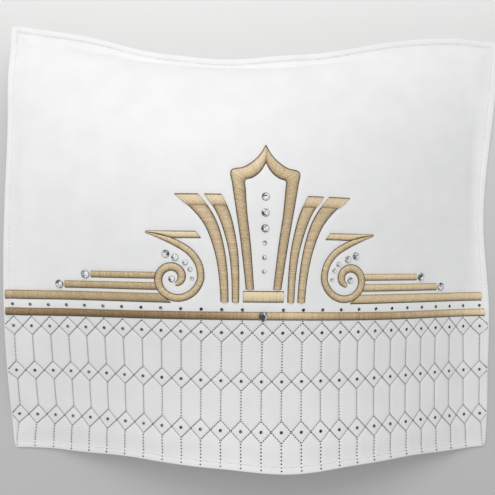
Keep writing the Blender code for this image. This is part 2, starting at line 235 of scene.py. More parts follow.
def undulation(s, t):
    """The slow swell of soft leather, between -1 and 1."""
    total = 0.0
    for a, b, phase, length in WAVES:
        size = math.hypot(a, b)
        total = total + np.sin((s * a + t * b) / size * 6.283 / length + phase)
    return total / len(WAVES)


def bare_skin(s, t):
    """Height of the leather's outer face, before the embroidery pulls at it."""
    e = edge_distance(s, t)
    hem = HEM_TOP + (FULL - HEM_TOP) * smooth((e - TOPSTITCH) / HEM_RISE)
    from_middle = np.abs((e - EDGE_ROLL / 2) / (EDGE_ROLL / 2 + 0.1))
    roll = ROLL_MIDDLE + ROLL_MIDDLE * np.clip(1 - from_middle ** 4, 0, 1) ** 0.25
    surface = np.where(e < TOPSTITCH - 0.5, roll, hem)
    inner = smooth((e - TOPSTITCH) / 9.0)
    surface = surface + 0.35 * undulation(s, t) * inner
    puff = 1 - np.exp(-((stitch_distance(s, t) / QUILT_PULL_REACH) ** 1.5))
    quilted = (t < SEAM) * smooth((e - TOPSTITCH + 2.5) / 5.0)
    return surface + quilted * QUILT_PULL * (puff - 1)


# ---- meshes ------------------------------------------------------------------
def make_piece(name, points, faces, material, replaces=(), slot=None, tone=None, uv=None,
               flat=False):
    """One mesh that rides root; faces has one array for each number of corners."""
    mesh = bpy.data.meshes.new(name)
    faces = [np.asarray(f) for f in faces if len(f)]
    loops = np.concatenate([f.reshape(-1) for f in faces]).astype(np.int32)
    sizes = np.concatenate([np.full(len(f), f.shape[1]) for f in faces]).astype(np.int32)
    mesh.vertices.add(len(points))
    mesh.vertices.foreach_set("co", np.asarray(points, np.float32).reshape(-1))
    mesh.loops.add(len(loops))
    mesh.loops.foreach_set("vertex_index", loops)
    mesh.polygons.add(len(sizes))
    starts = np.concatenate([[0], np.cumsum(sizes)[:-1]]).astype(np.int32)
    mesh.polygons.foreach_set("loop_start", starts)
    mesh.polygons.foreach_set("loop_total", sizes)
    mesh.update(calc_edges=True)
    if uv is not None:
        layer = mesh.uv_layers.new(name="flat")
        layer.data.foreach_set("uv", np.asarray(uv, np.float32)[loops].reshape(-1))
    if tone is not None:
        layer = mesh.attributes.new("tone", "FLOAT", "POINT")
        layer.data.foreach_set("value", np.asarray(tone, np.float32).reshape(-1))
    mesh.polygons.foreach_set("use_smooth", np.full(len(sizes), not flat))
    mesh.validate()
    mesh.materials.append(material)
    obj = bpy.data.objects.new(name, mesh)
    bpy.context.scene.collection.objects.link(obj)
    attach(obj, "root")
    if replaces:
        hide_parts(*replaces)
    return obj


def flat_uv(s, t):
    return np.stack([s.reshape(-1), t.reshape(-1)], axis=1) * MM


def grid_faces(rows, columns, start=0):
    """Quads of a grid whose points run along each column first."""
    i, j = np.meshgrid(np.arange(rows - 1), np.arange(columns - 1), indexing="ij")
    a = start + (i * columns + j).reshape(-1)
    return np.stack([a, a + columns, a + columns + 1, a + 1], axis=1)


def shell(name, s_lines, t_lines, top, bottom, material, **options):
    """A closed sheet between two offset functions over a grid."""
    s, t = np.meshgrid(s_lines, t_lines, indexing="ij")
    rows, columns = s.shape
    upper = lay(s, t, top(s, t)).reshape(-1, 3)
    lower = lay(s, t, bottom(s, t)).reshape(-1, 3)
    count = rows * columns
    top_faces = grid_faces(rows, columns)
    bottom_faces = grid_faces(rows, columns, count)[:, ::-1]
    index = np.arange(count).reshape(rows, columns)
    rim = np.concatenate([index[:, 0], index[-1, 1:], index[-2::-1, -1], index[0, -2:0:-1]])
    after = np.roll(rim, -1)
    sides = np.stack([rim, rim + count, after + count, after], axis=1)
    points, faces = np.concatenate([upper, lower]), [top_faces, bottom_faces, sides]
    uv = np.concatenate([flat_uv(s, t)] * 2)
    return make_piece(name, points, faces, material, uv=uv, **options)


# ---- materials ---------------------------------------------------------------
class Look:
    """A small helper that builds one node material."""

    def __init__(self, name, colour, roughness, specular=0.5):
        self.material = bpy.data.materials.new(name)
        self.material.use_nodes = True
        self.tree = self.material.node_tree
        self.shader = self.tree.nodes["Principled BSDF"]
        self.set("Base Color", (*colour, 1))
        self.set("Roughness", roughness)
        self.set("Specular IOR Level", specular)

    def set(self, socket, value):
        self.shader.inputs[socket].default_value = value

    def node(self, kind, **values):
        made = self.tree.nodes.new(kind)
        for key, value in values.items():
            if key in made.inputs:
                made.inputs[key].default_value = value
            else:
                setattr(made, key, value)
        return made

    def link(self, source, target):
        self.tree.links.new(source, target)

    def place(self):
        """Flat-pattern coordinates in millimetres."""
        uv = self.node("ShaderNodeUVMap", uv_map="flat")
        mapping = self.node("ShaderNodeMapping")
        mapping.inputs["Scale"].default_value = (1000, 1000, 1000)
        self.link(uv.outputs["UV"], mapping.inputs["Vector"])
        return mapping.outputs["Vector"]

    def noise(self, vector, scale, detail=3.0, rough=0.55):
        made = self.node("ShaderNodeTexNoise", Scale=scale, Detail=detail, Roughness=rough)
        self.link(vector, made.inputs["Vector"])
        return made.outputs["Fac"]

    def ramp(self, source, stops):
        made = self.node("ShaderNodeValToRGB")
        elements = made.color_ramp.elements
        while len(elements) < len(stops):
            elements.new(0.5)
        for element, (place, colour) in zip(elements, stops):
            element.position = place
            element.color = (*colour, 1)
        self.link(source, made.inputs["Fac"])
        return made.outputs["Color"]

    def math(self, operation, a, b):
        made = self.node("ShaderNodeMath", operation=operation)
        for k, value in enumerate((a, b)):
            if isinstance(value, (int, float)):
                made.inputs[k].default_value = value
            else:
                self.link(value, made.inputs[k])
        return made.outputs["Value"]

    def bump(self, height, strength, distance):
        made = self.node("ShaderNodeBump", Strength=strength, Distance=distance)
        self.link(height, made.inputs["Height"])
        self.link(made.outputs["Normal"], self.shader.inputs["Normal"])


def grey(value, tint=(1.0, 1.0, 1.0)):
    return tuple(value * x for x in tint)


def leather_look(name, low, high, tint):
    look = Look(name, grey(high, tint), 0.46, 0.42)
    place = look.place()
    pebbles = look.node("ShaderNodeTexVoronoi", Scale=0.95)
    look.link(place, pebbles.inputs["Vector"])
    creases = look.noise(place, 0.55, 4.0, 0.6)
    grain = look.math("ADD", pebbles.outputs["Distance"], look.math("MULTIPLY", creases, 0.9))
    mottle = look.noise(place, 0.035, 3.0, 0.5)
    stops = [(0.3, grey(low, tint)), (0.7, grey(high, tint))]
    look.link(look.ramp(mottle, stops), look.shader.inputs["Base Color"])
    rough = look.node("ShaderNodeMapRange")
    rough.inputs["To Min"].default_value = 0.40
    rough.inputs["To Max"].default_value = 0.54
    look.link(creases, rough.inputs["Value"])
    look.link(rough.outputs["Result"], look.shader.inputs["Roughness"])
    look.bump(grain, 0.16, 0.00035)
    return look.material


def gold_look():
    look = Look("gold_satin_thread", (0.46, 0.335, 0.2), 0.36, 0.6)
    tone = look.node("ShaderNodeAttribute", attribute_name="tone").outputs["Fac"]
    place = look.place()
    colours = [(0.0, (0.168, 0.1, 0.038)), (0.35, (0.355, 0.245, 0.118)),
               (0.6, (0.495, 0.368, 0.208)), (1.0, (0.85, 0.68, 0.432))]
    # Random flecks in the satin, partly random tone and partly painted glints of light along the
    # threads.
    flecks_and_glints = look.math("SUBTRACT", look.noise(place, 0.6, 4.0, 0.65), 0.5)
    look.link(look.ramp(look.math("ADD", tone, flecks_and_glints), colours), look.shader.inputs["Base Color"])
    look.set("Sheen Weight", 0.25)
    look.set("Sheen Roughness", 0.35)
    twist = look.node("ShaderNodeTexWave", wave_type="BANDS", bands_direction="DIAGONAL",
                      Scale=0.55)
    look.link(place, twist.inputs["Vector"])
    look.bump(twist.outputs["Fac"], 0.25, 0.0001)
    return look.material


def plain_thread_look(name, dark, light, rough, specular=0.35):
    look = Look(name, light, rough, specular)
    tone = look.node("ShaderNodeAttribute", attribute_name="tone").outputs["Fac"]
    look.link(look.ramp(tone, [(0.0, dark), (1.0, light)]), look.shader.inputs["Base Color"])
    place = look.place()
    look.bump(look.noise(place, 2.2, 2.0), 0.3, 0.0001)
    return look.material


# Painted reflections: a clear stone has no colour of its own; the dark and white facet colours
# stand in for what it mirrors.
def crystal_look(name, dark, light, coat):
    look = Look(name, light, 0.08, 0.9 * coat)
    tone = look.node("ShaderNodeAttribute", attribute_name="tone").outputs["Fac"]
    stops = [(0.0, dark), (0.34, dark), (0.42, grey(0.42)), (0.6, grey(0.7)), (1.0, light)]
    look.link(look.ramp(tone, stops), look.shader.inputs["Base Color"])
    look.set("Coat Weight", coat)
    look.set("Coat Roughness", 0.02)
    return look.material


def cloth_look(name, colour, pitch, sheen):
    look = Look(name, colour, 0.6, 0.3)
    place = look.place()
    warp = look.node("ShaderNodeTexWave", bands_direction="X", Scale=1 / pitch / 2)
    weft = look.node("ShaderNodeTexWave", bands_direction="Y", Scale=1 / pitch / 2)
    look.link(place, warp.inputs["Vector"])
    look.link(place, weft.inputs["Vector"])
    weave = look.math("MAXIMUM", warp.outputs["Fac"], weft.outputs["Fac"])
    look.bump(weave, 0.35, 0.00012)
    mottle = look.noise(place, 0.05, 3.0)
    darker = grey(0.93, colour)
    look.link(look.ramp(mottle, [(0.3, darker), (0.7, colour)]), look.shader.inputs["Base Color"])
    look.set("Sheen Weight", sheen)
    return look.material


LEATHER_LOOK = leather_look("white_leatherette", 0.83, 0.87, (1.0, 1.0, 0.99))
# The quilted leather is a darker copy of the upper leather, partly painted shade of the front slope
# that turns from the light.
QUILT_LOOK = leather_look("quilted_leatherette", 0.785, 0.825, (1.0, 1.0, 0.98))
GOLD_LOOK = gold_look()
# The outline's dark colour is partly painted shadow at the satin's edges; its light end is a
# painted highlight.
OUTLINE_LOOK = plain_thread_look("outline_thread_and_edge_shadow", (0.055, 0.042, 0.026), (0.62, 0.47, 0.28), 0.55)
DARK_THREAD_LOOK = plain_thread_look("quilting_thread", (0.006, 0.006, 0.007), (0.02, 0.02, 0.021),
                                     rough=0.8, specular=0.08)
WHITE_THREAD_LOOK = plain_thread_look("white_thread", (0.78, 0.78, 0.77), (0.9, 0.9, 0.89), 0.5)
CRYSTAL_LOOK = crystal_look("crystal", (0.02, 0.021, 0.024), (0.96, 0.97, 1.0), 1.0)
SMALL_CRYSTAL_LOOK = crystal_look("small_crystal", (0.006, 0.006, 0.007), (0.6, 0.61, 0.63), 0.3)
LINING_LOOK = cloth_look("lining_satin", (0.8, 0.79, 0.76), 0.5, 0.3)
WADDING_LOOK = cloth_look("wadding_fleece", (0.86, 0.86, 0.84), 1.3, 0.6)


# ---- ornament outlines -------------------------------------------------------
def smooth_line(points, per_span):
    """Points on a smooth curve through the given rows of values."""
    points = np.asarray(points, float)
    last = len(points) - 1
    rows = []
    f = np.arange(per_span)[:, None] / per_span
    for i in range(last):
        a, b, c, d = points[max(i - 1, 0)], points[i], points[i + 1], points[min(i + 2, last)]
        rows.append((2 * b + (c - a) * f + (2 * a - 5 * b + 4 * c - d) * f ** 2
                     + (3 * b - a - 3 * c + d) * f ** 3) / 2)
    rows.append(points[-1:])
    return np.concatenate(rows)


def sides_of(line):
    """Edge lines of a band from (s, t, half width) along its middle."""
    direction = np.gradient(line[:, :2], axis=0)
    direction /= np.linalg.norm(direction, axis=1, keepdims=True)
    normal = np.stack([-direction[:, 1], direction[:, 0]], axis=1)
    return line[:, :2] + normal * line[:, 2:], line[:, :2] - normal * line[:, 2:]


def mirrored(pair, side):
    flip = np.array([side, 1.0])
    return pair[0] * flip, pair[1] * flip


def sagging(s):
    """How far the low bar hangs below its middle."""
    return LOW_BAR_SAG * np.sin(np.minimum(1, np.abs(s) / SAG_REACH) * math.pi / 2) ** 2


def bar(starts, end, t_range, sag=np.zeros_like):
    """Edge lines of a bar; its near end may slant, so it has a start for each edge."""
    pair = []
    for start, t in zip(starts, t_range):
        s = np.linspace(start, end, 60)
        pair.append(np.stack([s, t - sag(s)], axis=1))
    return tuple(pair)


def scroll():
    lead = [(114.0, 231.5, 0.3), (102.5, 228.3, 1.5), (91.0, 224.4, 2.7), (80.2, 219.2, 3.1),
            (73.0, 214.6, 3.2), (67.6, 209.2, 3.3), (63.4, 202.6, 3.3), (61.2, 195.6, 3.3)]
    angle = np.linspace(0, SCROLL_TURN, 29)
    radius = SCROLL_RADIUS * np.exp(-SCROLL_DECAY * np.radians(angle))
    taper = np.maximum(0, (angle - 330) / (SCROLL_TURN - 330)) ** 2
    half = 3.3 + 0.5 * np.minimum(1, angle / 180) - 2.1 * taper
    s = SCROLL_CENTRE[0] - radius * np.cos(np.radians(angle))
    t = SCROLL_CENTRE[1] - radius * np.sin(np.radians(angle))
    return sides_of(smooth_line(lead + list(zip(s, t, half)), 8))


def wedge():
    upper = np.array([(66.0, 232.8), (78.0, 232.8), (89.5, 232.8), (101.5, 232.8), (114.2, 232.7)])
    lower = np.array([(61.0, 226.6), (74.0, 226.6), (87.0, 226.5), (101.0, 230.0), (114.0, 232.2)])
    both = smooth_line(np.concatenate([upper, lower], axis=1), 16)
    return both[:, 2:], both[:, :2]


def flame():
    outer = [(0.2, 316.0), (5.0, 307.5), (12.0, 300.0), (21.5, 294.0), (33.0, 290.5), (31.5, 277.0),
             (27.5, 252.0), (23.0, 224.0), (19.5, 198.0), (17.0, 177.4)]
    inner = [(0.2, 299.0), (3.6, 292.6), (8.2, 287.4), (13.4, 284.0), (19.6, 281.4), (19.2, 272.0),
             (17.4, 250.0), (14.0, 224.0), (11.4, 198.0), (9.6, 177.4)]
    both = smooth_line(np.concatenate([np.array(inner), np.array(outer)], axis=1), 12)
    return both[:, :2], both[:, 2:]


INNER_PLUME = [(27.0, 164.6, 3.2), (27.6, 190.0, 3.5), (30.0, 215.0, 4.2), (36.0, 240.0, 5.4),
               (42.5, 256.0, 6.6), (50.0, 268.0, 7.8)]
OUTER_PLUME = [(37.5, 164.6, 3.6), (39.0, 190.0, 4.0), (43.0, 215.0, 4.8), (50.5, 238.0, 6.2),
               (61.0, 254.0, 8.4), (75.0, 268.0, 11.0)]
PLUME_HEAD = 257.5


def plume(points):
    """A plume's shaft and its head, which is stitched the other way."""
    line = smooth_line(points, 24)
    line[:, 1] = np.minimum(line[:, 1], points[-1][1])
    shaft = line[line[:, 1] <= PLUME_HEAD]
    head = line[line[:, 1] >= PLUME_HEAD - 1.0]
    shaft_sides = shaft[:, :2] - shaft[:, 2:] * [1, 0], shaft[:, :2] + shaft[:, 2:] * [1, 0]
    low, high = head[0], head[-1]
    f = np.linspace(-1, 1, 24)[:, None]
    bottom = np.array([[low[0], low[1]]]) + f * [[low[2], 0]]
    top = np.array([[high[0], high[1]]]) + f * [[high[2], 0]]
    return shaft_sides, (bottom, top)


BANDS = {"gold_bar_low": [bar((-BAR_END_LEFT, -BAR_END_LEFT), LOW_BAR_END, LOW_BAR, sagging)]}
for side, word in SIDES:
    far = LONG_BAR_END if side > 0 else BAR_END_LEFT
    for kind, drafted in (("gold_bar_long_", [bar(LONG_BAR_START, far, LONG_BAR)]),
                          ("gold_bar_middle_", [bar(MIDDLE_BAR_START, MIDDLE_BAR_END, MIDDLE_BAR)]),
                          ("gold_bar_short_", [bar(SHORT_BAR_START, SHORT_BAR_END, SHORT_BAR)]),
                          ("scroll_", [scroll()]),
                          ("scroll_wedge_", [wedge()]),
                          ("flame_", [flame()]),
                          ("plume_inner_", plume(INNER_PLUME)),
                          ("plume_outer_", plume(OUTER_PLUME))):
        BANDS[kind + word] = [mirrored(part, side) for part in drafted]
BANDS["plinth"] = [bar((-PLINTH_HALF, -PLINTH_HALF), PLINTH_HALF, PLINTH)]

# Painted sheen and shade of the satin, 0 to 1, put into its colour: by shape, by height on the
# flame, and by place on the low bar; the bars are painted darker on the left and lighter on the
# right.
PAINTED_SHEEN_BY_SHAPE = {"gold_bar_long": 0.7, "gold_bar_middle": 0.7, "gold_bar_short": 0.72, "scroll_wedge": 0.9,
          "scroll": 0.72, "plume": 0.7, "plinth": 1.0}
HEAD_PAINTED_SHEEN = 0.84
FLAME_PAINTED_SHEEN_T, FLAME_FOOT_SHEEN, FLAME_TIP_SHEEN = (270, 296), 0.62, {"flame_left": 0.84, "flame_right": 0.74}
BAR_SIDE_PAINTED_LIGHT = 0.13
LOW_BAR_PAINTED_SHADE = ((-270, -140, -50, -15, 30, 80, 120, 200, 270),
                 (0.22, 0.07, 0.22, 0.5, 0.78, 0.55, 0.5, 0.66, 0.98))


def painted_sheen_level(name, part, s, t):
    """Painted sheen and shade: how bright the satin looks under the light, which changes with the
    lay of the thread from shape to shape.
    """
    if name == "gold_bar_low":
        return np.interp(s, *LOW_BAR_PAINTED_SHADE)
    if name.startswith("plume") and part == 1:
        return np.full(np.shape(s), HEAD_PAINTED_SHEEN)
    if name.startswith("flame"):
        return np.interp(t, FLAME_PAINTED_SHEEN_T, (FLAME_FOOT_SHEEN, FLAME_TIP_SHEEN[name]))
    level = next(v for k, v in PAINTED_SHEEN_BY_SHAPE.items() if name.startswith(k))
    if name.startswith("gold_bar"):
        level = level + BAR_SIDE_PAINTED_LIGHT * np.sign(s)
    return level + 0 * s


def step_lengths(line):
    return np.linalg.norm(np.diff(line, axis=0), axis=1)


def on_line(at, along, line):
    return np.stack([np.interp(at, along, line[:, c]) for c in range(2)], axis=1)


def dip_field():
    """1 under the embroidery, fading to 0 about 4 mm away: the stitching pulls the leather down."""
    mask = np.zeros((len(S_AXIS), len(T_AXIS)))
    for parts in BANDS.values():
        for left, right in parts:
            count = 4 * len(left)
            k = np.linspace(0, len(left) - 1, count)
            base = np.arange(len(left))
            l_line, r_line = on_line(k, base, left), on_line(k, base, right)
            for q in np.linspace(0, 1, 30):
                p = l_line * (1 - q) + r_line * q
                i = np.clip(np.round(p[:, 0] - S_AXIS[0]).astype(int), 0, len(S_AXIS) - 1)
                j = np.clip(np.round(p[:, 1] - T_AXIS[0]).astype(int), 0, len(T_AXIS) - 1)
                mask[i, j] = 1
    kernel = np.exp(-0.5 * (np.arange(-6, 7) / 1.7) ** 2)
    kernel /= kernel.sum()
    for axis in range(2):
        mask = np.apply_along_axis(lambda v: np.convolve(v, kernel, mode="same"), axis, mask)
    return mask


DIP = dip_field()
DIP_DEPTH = 0.75


def skin(s, t):
    """Height of the leather's outer face, with the pull of the embroidery."""
    s, t = np.broadcast_arrays(np.asarray(s, float), np.asarray(t, float))
    inner = smooth((edge_distance(s, t) - TOPSTITCH) / 4.0)
    return bare_skin(s, t) - DIP_DEPTH * net(DIP, s, t) * inner


# ---- cloth and leather pieces ------------------------------------------------
def lines(start, end, step, dense=()):
    """Even lines from start to end, with closer ones near the given places."""
    rows = [start, end]
    rows += list(np.arange(start, end, step)[1:])
    for place, reach, fine in dense:
        rows += list(np.arange(max(start, place - reach), min(end, place + reach), fine))
    rows = np.array(sorted(set(np.round(rows, 3))))
    keep = [rows[0]]
    for row in rows[1:-1]:
        if row - keep[-1] > 0.25 and rows[-1] - row > 0.25:
            keep.append(row)
    return np.array(keep + [rows[-1]])


INSET = TOPSTITCH - 1.6
TUCK = EDGE_ROLL - 0.35
PANEL_THICK = 0.9
PANEL_STEP, QUILT_STEP = 1.6 * FINE, 0.9 * FINE


def hem_closed(s, t):
    """The skin, tucked under the rolled edge at the outermost rows."""
    e = edge_distance(s, t)
    into = np.clip((TOPSTITCH - e) / (TOPSTITCH - TUCK), 0, 1)
    return np.where(e < TUCK, HEM_TUCKED, np.where(e < TOPSTITCH, HEM_TOP - 0.2 * into, skin(s, t)))


def hem_under(s, t):
    return hem_closed(s, t) - PANEL_THICK


edge_lines = [(-HALF + 8, 8, 0.7), (HALF - 8, 8, 0.7)]
upper_s = lines(-HALF + INSET, HALF - INSET, PANEL_STEP, edge_lines)
upper_t = lines(SEAM + GAP, HEIGHT - INSET, PANEL_STEP, [(HEIGHT - 8, 8, 0.7)])
upper_panel = shell("front_panel_upper_leather", upper_s, upper_t, hem_closed, hem_under,
                    LEATHER_LOOK, replaces=["front_panel_upper"], slot="white_leatherette")
quilt_s = lines(-HALF + INSET, HALF - INSET, QUILT_STEP)
quilt_t = lines(INSET, SEAM - GAP, QUILT_STEP)
quilt_panel = shell("front_panel_quilted_leather", quilt_s, quilt_t, hem_closed, hem_under,
                    QUILT_LOOK, replaces=["front_panel_quilted"], slot="quilted_leatherette")


def rounded_rectangle(inset, radius, step):
    """Points and outward directions along the cover's edge, inset and with round corners."""
    w, low, high = HALF - inset, inset, HEIGHT - inset
    corners = [(w - radius, low + radius, -90), (w - radius, high - radius, 0),
               (-w + radius, high - radius, 90), (-w + radius, low + radius, 180)]
    rows = []
    for k, (s, t, first) in enumerate(corners):
        turn = np.radians(first + np.linspace(0, 90, max(3, int(radius * 1.6 / step) + 1)))
        out = np.stack([np.cos(turn), np.sin(turn)], axis=1)
        arc = np.concatenate([[s, t] + radius * out, out], axis=1)
        rows.append(arc)
        nxt = corners[(k + 1) % 4]
        turn = math.radians(nxt[2])
        goal = np.array([nxt[0] + radius * math.cos(turn), nxt[1] + radius * math.sin(turn)])
        length = np.linalg.norm(goal - arc[-1, :2])
        f = np.linspace(0, 1, int(length / step) + 1)[1:-1, None]
        run = arc[-1, :2] * (1 - f) + goal * f
        rows.append(np.concatenate([run, np.tile(arc[-1, 2:], (len(run), 1))], axis=1))
    return np.concatenate(rows)


def tube_corners(count, sides):
    """The four point numbers of every quad on a closed tube of rings."""
    i, j = (v.reshape(-1) for v in np.meshgrid(np.arange(count), np.arange(sides), indexing="ij"))
    after, beside = (i + 1) % count, (j + 1) % sides
    return i * sides + j, after * sides + j, after * sides + beside, i * sides + beside


def turned_edge():
    """The rolled hem: leather turned over the edge and down to the lining."""
    path = rounded_rectangle(EDGE_ROLL / 2, 5.0 - EDGE_ROLL / 2, 1.2 * FINE)
    wobble = 0.12 * np.sin(np.cumsum(RNG.normal(0, 0.25, len(path))))
    wobble *= np.minimum(1, np.minimum(np.arange(len(path)), np.arange(len(path))[::-1]) / 20)
    sides = 24
    angle = 2 * math.pi * (np.arange(sides) + 0.5) / sides
    across = np.sign(np.cos(angle)) * np.abs(np.cos(angle)) ** 0.5 * (EDGE_ROLL / 2 + 0.05)
    rise = np.sin(angle)
    up = np.where(rise > 0, 1.45, 1.4) * np.sign(rise) * np.abs(rise) ** 0.5
    s = path[:, None, 0] + path[:, None, 2] * across[None]
    t = path[:, None, 1] + path[:, None, 3] * across[None]
    offset = ROLL_MIDDLE + up[None] + wobble[:, None] * (rise > 0)[None]
    points = lay(s, t, offset)
    points[..., 2] = np.maximum(points[..., 2], 0.00002)
    a, b, c, d = tube_corners(len(path), sides)
    edge = make_piece("turned_edge", points.reshape(-1, 3), [np.stack([a, b, c, d], axis=1)],
                      LEATHER_LOOK, uv=flat_uv(s, t), slot="white_leatherette")
    # The hem's front takes the darker quilted leather, with its partly painted shade.
    edge.data.materials.append(QUILT_LOOK)
    front = (t.reshape(-1)[a] < SEAM).astype(np.int32)
    edge.data.polygons.foreach_set("material_index", front)
    return edge


edge_piece = turned_edge()

LINING_INSET, LINING_THICK, LINING_STEP = 3.0, 0.45, 4.0
WADDING_INSET, WADDING_LOW, WADDING_STEP = 12.0, 0.95, 5.0


def lining_low(s, t):
    ripple = np.maximum(0, 0.22 * undulation(s * 2.3, t * 2.3))
    return 0.05 + ripple * smooth((edge_distance(s, t) - 6) / 12)


def wadding_top(s, t):
    return WADDING_LOW + 0.8 + 0.75 * smooth((edge_distance(s, t) - 14) / 10)


def inset_lines(inset, step):
    return lines(-HALF + inset, HALF - inset, step), lines(inset, HEIGHT - inset, step)


lining_piece = shell("lining_cloth", *inset_lines(LINING_INSET, LINING_STEP),
                     lambda s, t: lining_low(s, t) + LINING_THICK, lining_low,
                     LINING_LOOK, replaces=["lining"], slot="lining_satin")
wadding_piece = shell("wadding_layer", *inset_lines(WADDING_INSET, WADDING_STEP), wadding_top,
                      lambda s, t: np.full(np.shape(s), WADDING_LOW),
                      WADDING_LOOK, replaces=["wadding"], slot="wadding")


# ---- satin stitch ------------------------------------------------------------
THREAD = 0.56 * FINE
THREAD_RIDGE, THREAD_JITTER, THREAD_TONE = 0.075, 0.09, 0.058
# Painted shade and highlight across each band: darker edges, a lighter middle and a lighter upper
# side.
ROUNDING_PAINTED_SHADE, UPPER_SIDE_PAINTED_LIGHT = 0.36, 0.16
ACROSS = 11


def resampled(left, right, step):
    """Both edge lines of a band at even steps along it, and the places of the steps."""
    far = np.maximum(step_lengths(left), step_lengths(right))
    far = (far + step_lengths((left + right) / 2)) / 2
    along = np.concatenate([[0], np.cumsum(far)])
    at = np.linspace(0, along[-1], max(4, int(along[-1] / step) + 1))
    return on_line(at, along, left), on_line(at, along, right), at


def satin_band(name, parts):
    """Points, faces, tones and flat places of padded satin stitch; each thread is a ridge."""
    all_points, all_faces, all_tone, all_uv = [], [], [], []
    start = 0
    q = np.linspace(0, 1, ACROSS)
    rise = np.maximum(0, 1 - np.abs(2 * q - 1) ** 2.0) ** 0.7
    for part, (left, right) in enumerate(parts):
        left, right, at = resampled(left, right, THREAD / 2)
        count = len(at)
        thread = np.arange(count) // 2
        middle = (left + right) / 2
        uneven = RNG.normal(0, THREAD_TONE, thread[-1] + 1)[thread]
        # The tone is painted sheen and shade for each shape, plus a random tone for each thread.
        tone = painted_sheen_level(name, part, middle[:, 0], middle[:, 1]) + uneven
        ridge = np.where(np.arange(count) % 2 == 0, THREAD_RIDGE, -THREAD_RIDGE)
        jitter = RNG.normal(0, THREAD_JITTER, (2, thread[-1] + 1))[:, thread]
        wide = np.linalg.norm(right - left, axis=1)
        unit = (right - left) / np.maximum(wide, 1e-6)[:, None]
        allowed = np.minimum(1, wide / 4)
        left = left + unit * (jitter[0] * allowed)[:, None]
        right = right + unit * (jitter[1] * allowed)[:, None]
        tall = np.minimum(STITCH_HEIGHT + PADDING_PUFF, 0.3 + wide * 0.42)
        s = left[:, :1] * (1 - q) + right[:, :1] * q
        t = left[:, 1:] * (1 - q) + right[:, 1:] * q
        offset = skin(s, t) + 0.15 + tall[:, None] * rise + ridge[:, None] * (rise > 0)
        offset[:, 0] -= 0.55
        offset[:, -1] -= 0.55
        points = lay(s, t, offset).reshape(-1, 3)
        faces = grid_faces(count, ACROSS, start)
        under = np.arange(count - 1)[:, None] * ACROSS + start
        bottom = under + np.array([0, ACROSS - 1, 2 * ACROSS - 1, ACROSS])
        first = start + np.arange(ACROSS)
        last = start + (count - 1) * ACROSS + np.arange(ACROSS)[::-1]
        all_points.append(points)
        all_faces.append((faces, bottom, first[None], last[None]))
        # Painted light: the upper side of each band is made lighter, the lower side darker, and the
        # edges darker than the middle.
        lit = UPPER_SIDE_PAINTED_LIGHT * unit[:, 1:] * (2 * q - 1)
        all_tone.append((tone[:, None] + ROUNDING_PAINTED_SHADE * (rise - 0.8) + lit).reshape(-1))
        from_left = np.tile(q, count) * np.repeat(wide, ACROSS)
        all_uv.append(np.stack([np.repeat(at, ACROSS), from_left], axis=1) * MM)
        start += count * ACROSS
    quads = np.concatenate([np.concatenate([f[0], f[1]]) for f in all_faces])
    caps = np.concatenate([np.concatenate([f[2], f[3]]) for f in all_faces])
    points, tone, uv = (np.concatenate(v) for v in (all_points, all_tone, all_uv))
    return points, [quads, caps], tone, uv


for name, parts in BANDS.items():
    points, faces, tone, uv = satin_band(name, parts)
    make_piece(name + "_satin", points, faces, GOLD_LOOK, replaces=[name], slot="gold_thread",
               tone=tone, uv=uv)


# ---- threads -----------------------------------------------------------------
def thread_piece(name, paths, material, length, gap, radius, height, sides=6, cuts=5):
    """Separate stitches along flat-pattern paths; each dips into the leather at both ends."""
    all_points, all_faces, all_tone, all_uv = [], [], [], []
    start = 0
    arch = np.sin(np.linspace(0, math.pi, cuts)) ** 0.6
    angle = 2 * math.pi * np.arange(sides) / sides
    for path in paths:
        path = np.asarray(path, float)
        along = np.concatenate([[0], np.cumsum(step_lengths(path))])
        count = max(1, int(round(along[-1] / (length + gap))))
        pitch = along[-1] / count
        for k in range(count):
            ends = k * pitch + gap / 2, (k + 1) * pitch - gap / 2
            at = np.linspace(ends[0], ends[1], cuts)
            s, t = np.interp(at, along, path[:, 0]), np.interp(at, along, path[:, 1])
            direction = np.array([s[-1] - s[0], t[-1] - t[0]])
            direction /= max(np.linalg.norm(direction), 1e-6)
            slip = RNG.normal(0, 0.06)
            thick = radius(s.mean())
            s, t = s - direction[1] * slip, t + direction[0] * slip
            size = thick * (0.45 + 0.55 * arch)
            ring_s = s[:, None] - direction[1] * np.cos(angle) * size[:, None]
            ring_t = t[:, None] + direction[0] * np.cos(angle) * size[:, None]
            middle = skin(s, t) + height * arch - thick * 0.35
            offset = middle[:, None] + np.sin(angle) * size[:, None]
            all_points.append(lay(ring_s, ring_t, offset).reshape(-1, 3))
            i, j = np.meshgrid(np.arange(cuts - 1), np.arange(sides), indexing="ij")
            a = start + i * sides + j
            b = start + i * sides + (j + 1) % sides
            quads = np.stack([a, b, b + sides, a + sides], axis=-1).reshape(-1, 4)
            first = start + np.arange(sides)[::-1]
            last = start + (cuts - 1) * sides + np.arange(sides)
            all_faces.append((quads, np.stack([first, last])))
            all_tone.append(np.full(cuts * sides, RNG.random()))
            all_uv.append(flat_uv(ring_s, ring_t))
            start += cuts * sides
    quads = np.concatenate([f[0] for f in all_faces])
    caps = np.concatenate([f[1] for f in all_faces])
    return make_piece(name, np.concatenate(all_points), [quads, caps], material,
                      tone=np.concatenate(all_tone), uv=np.concatenate(all_uv))


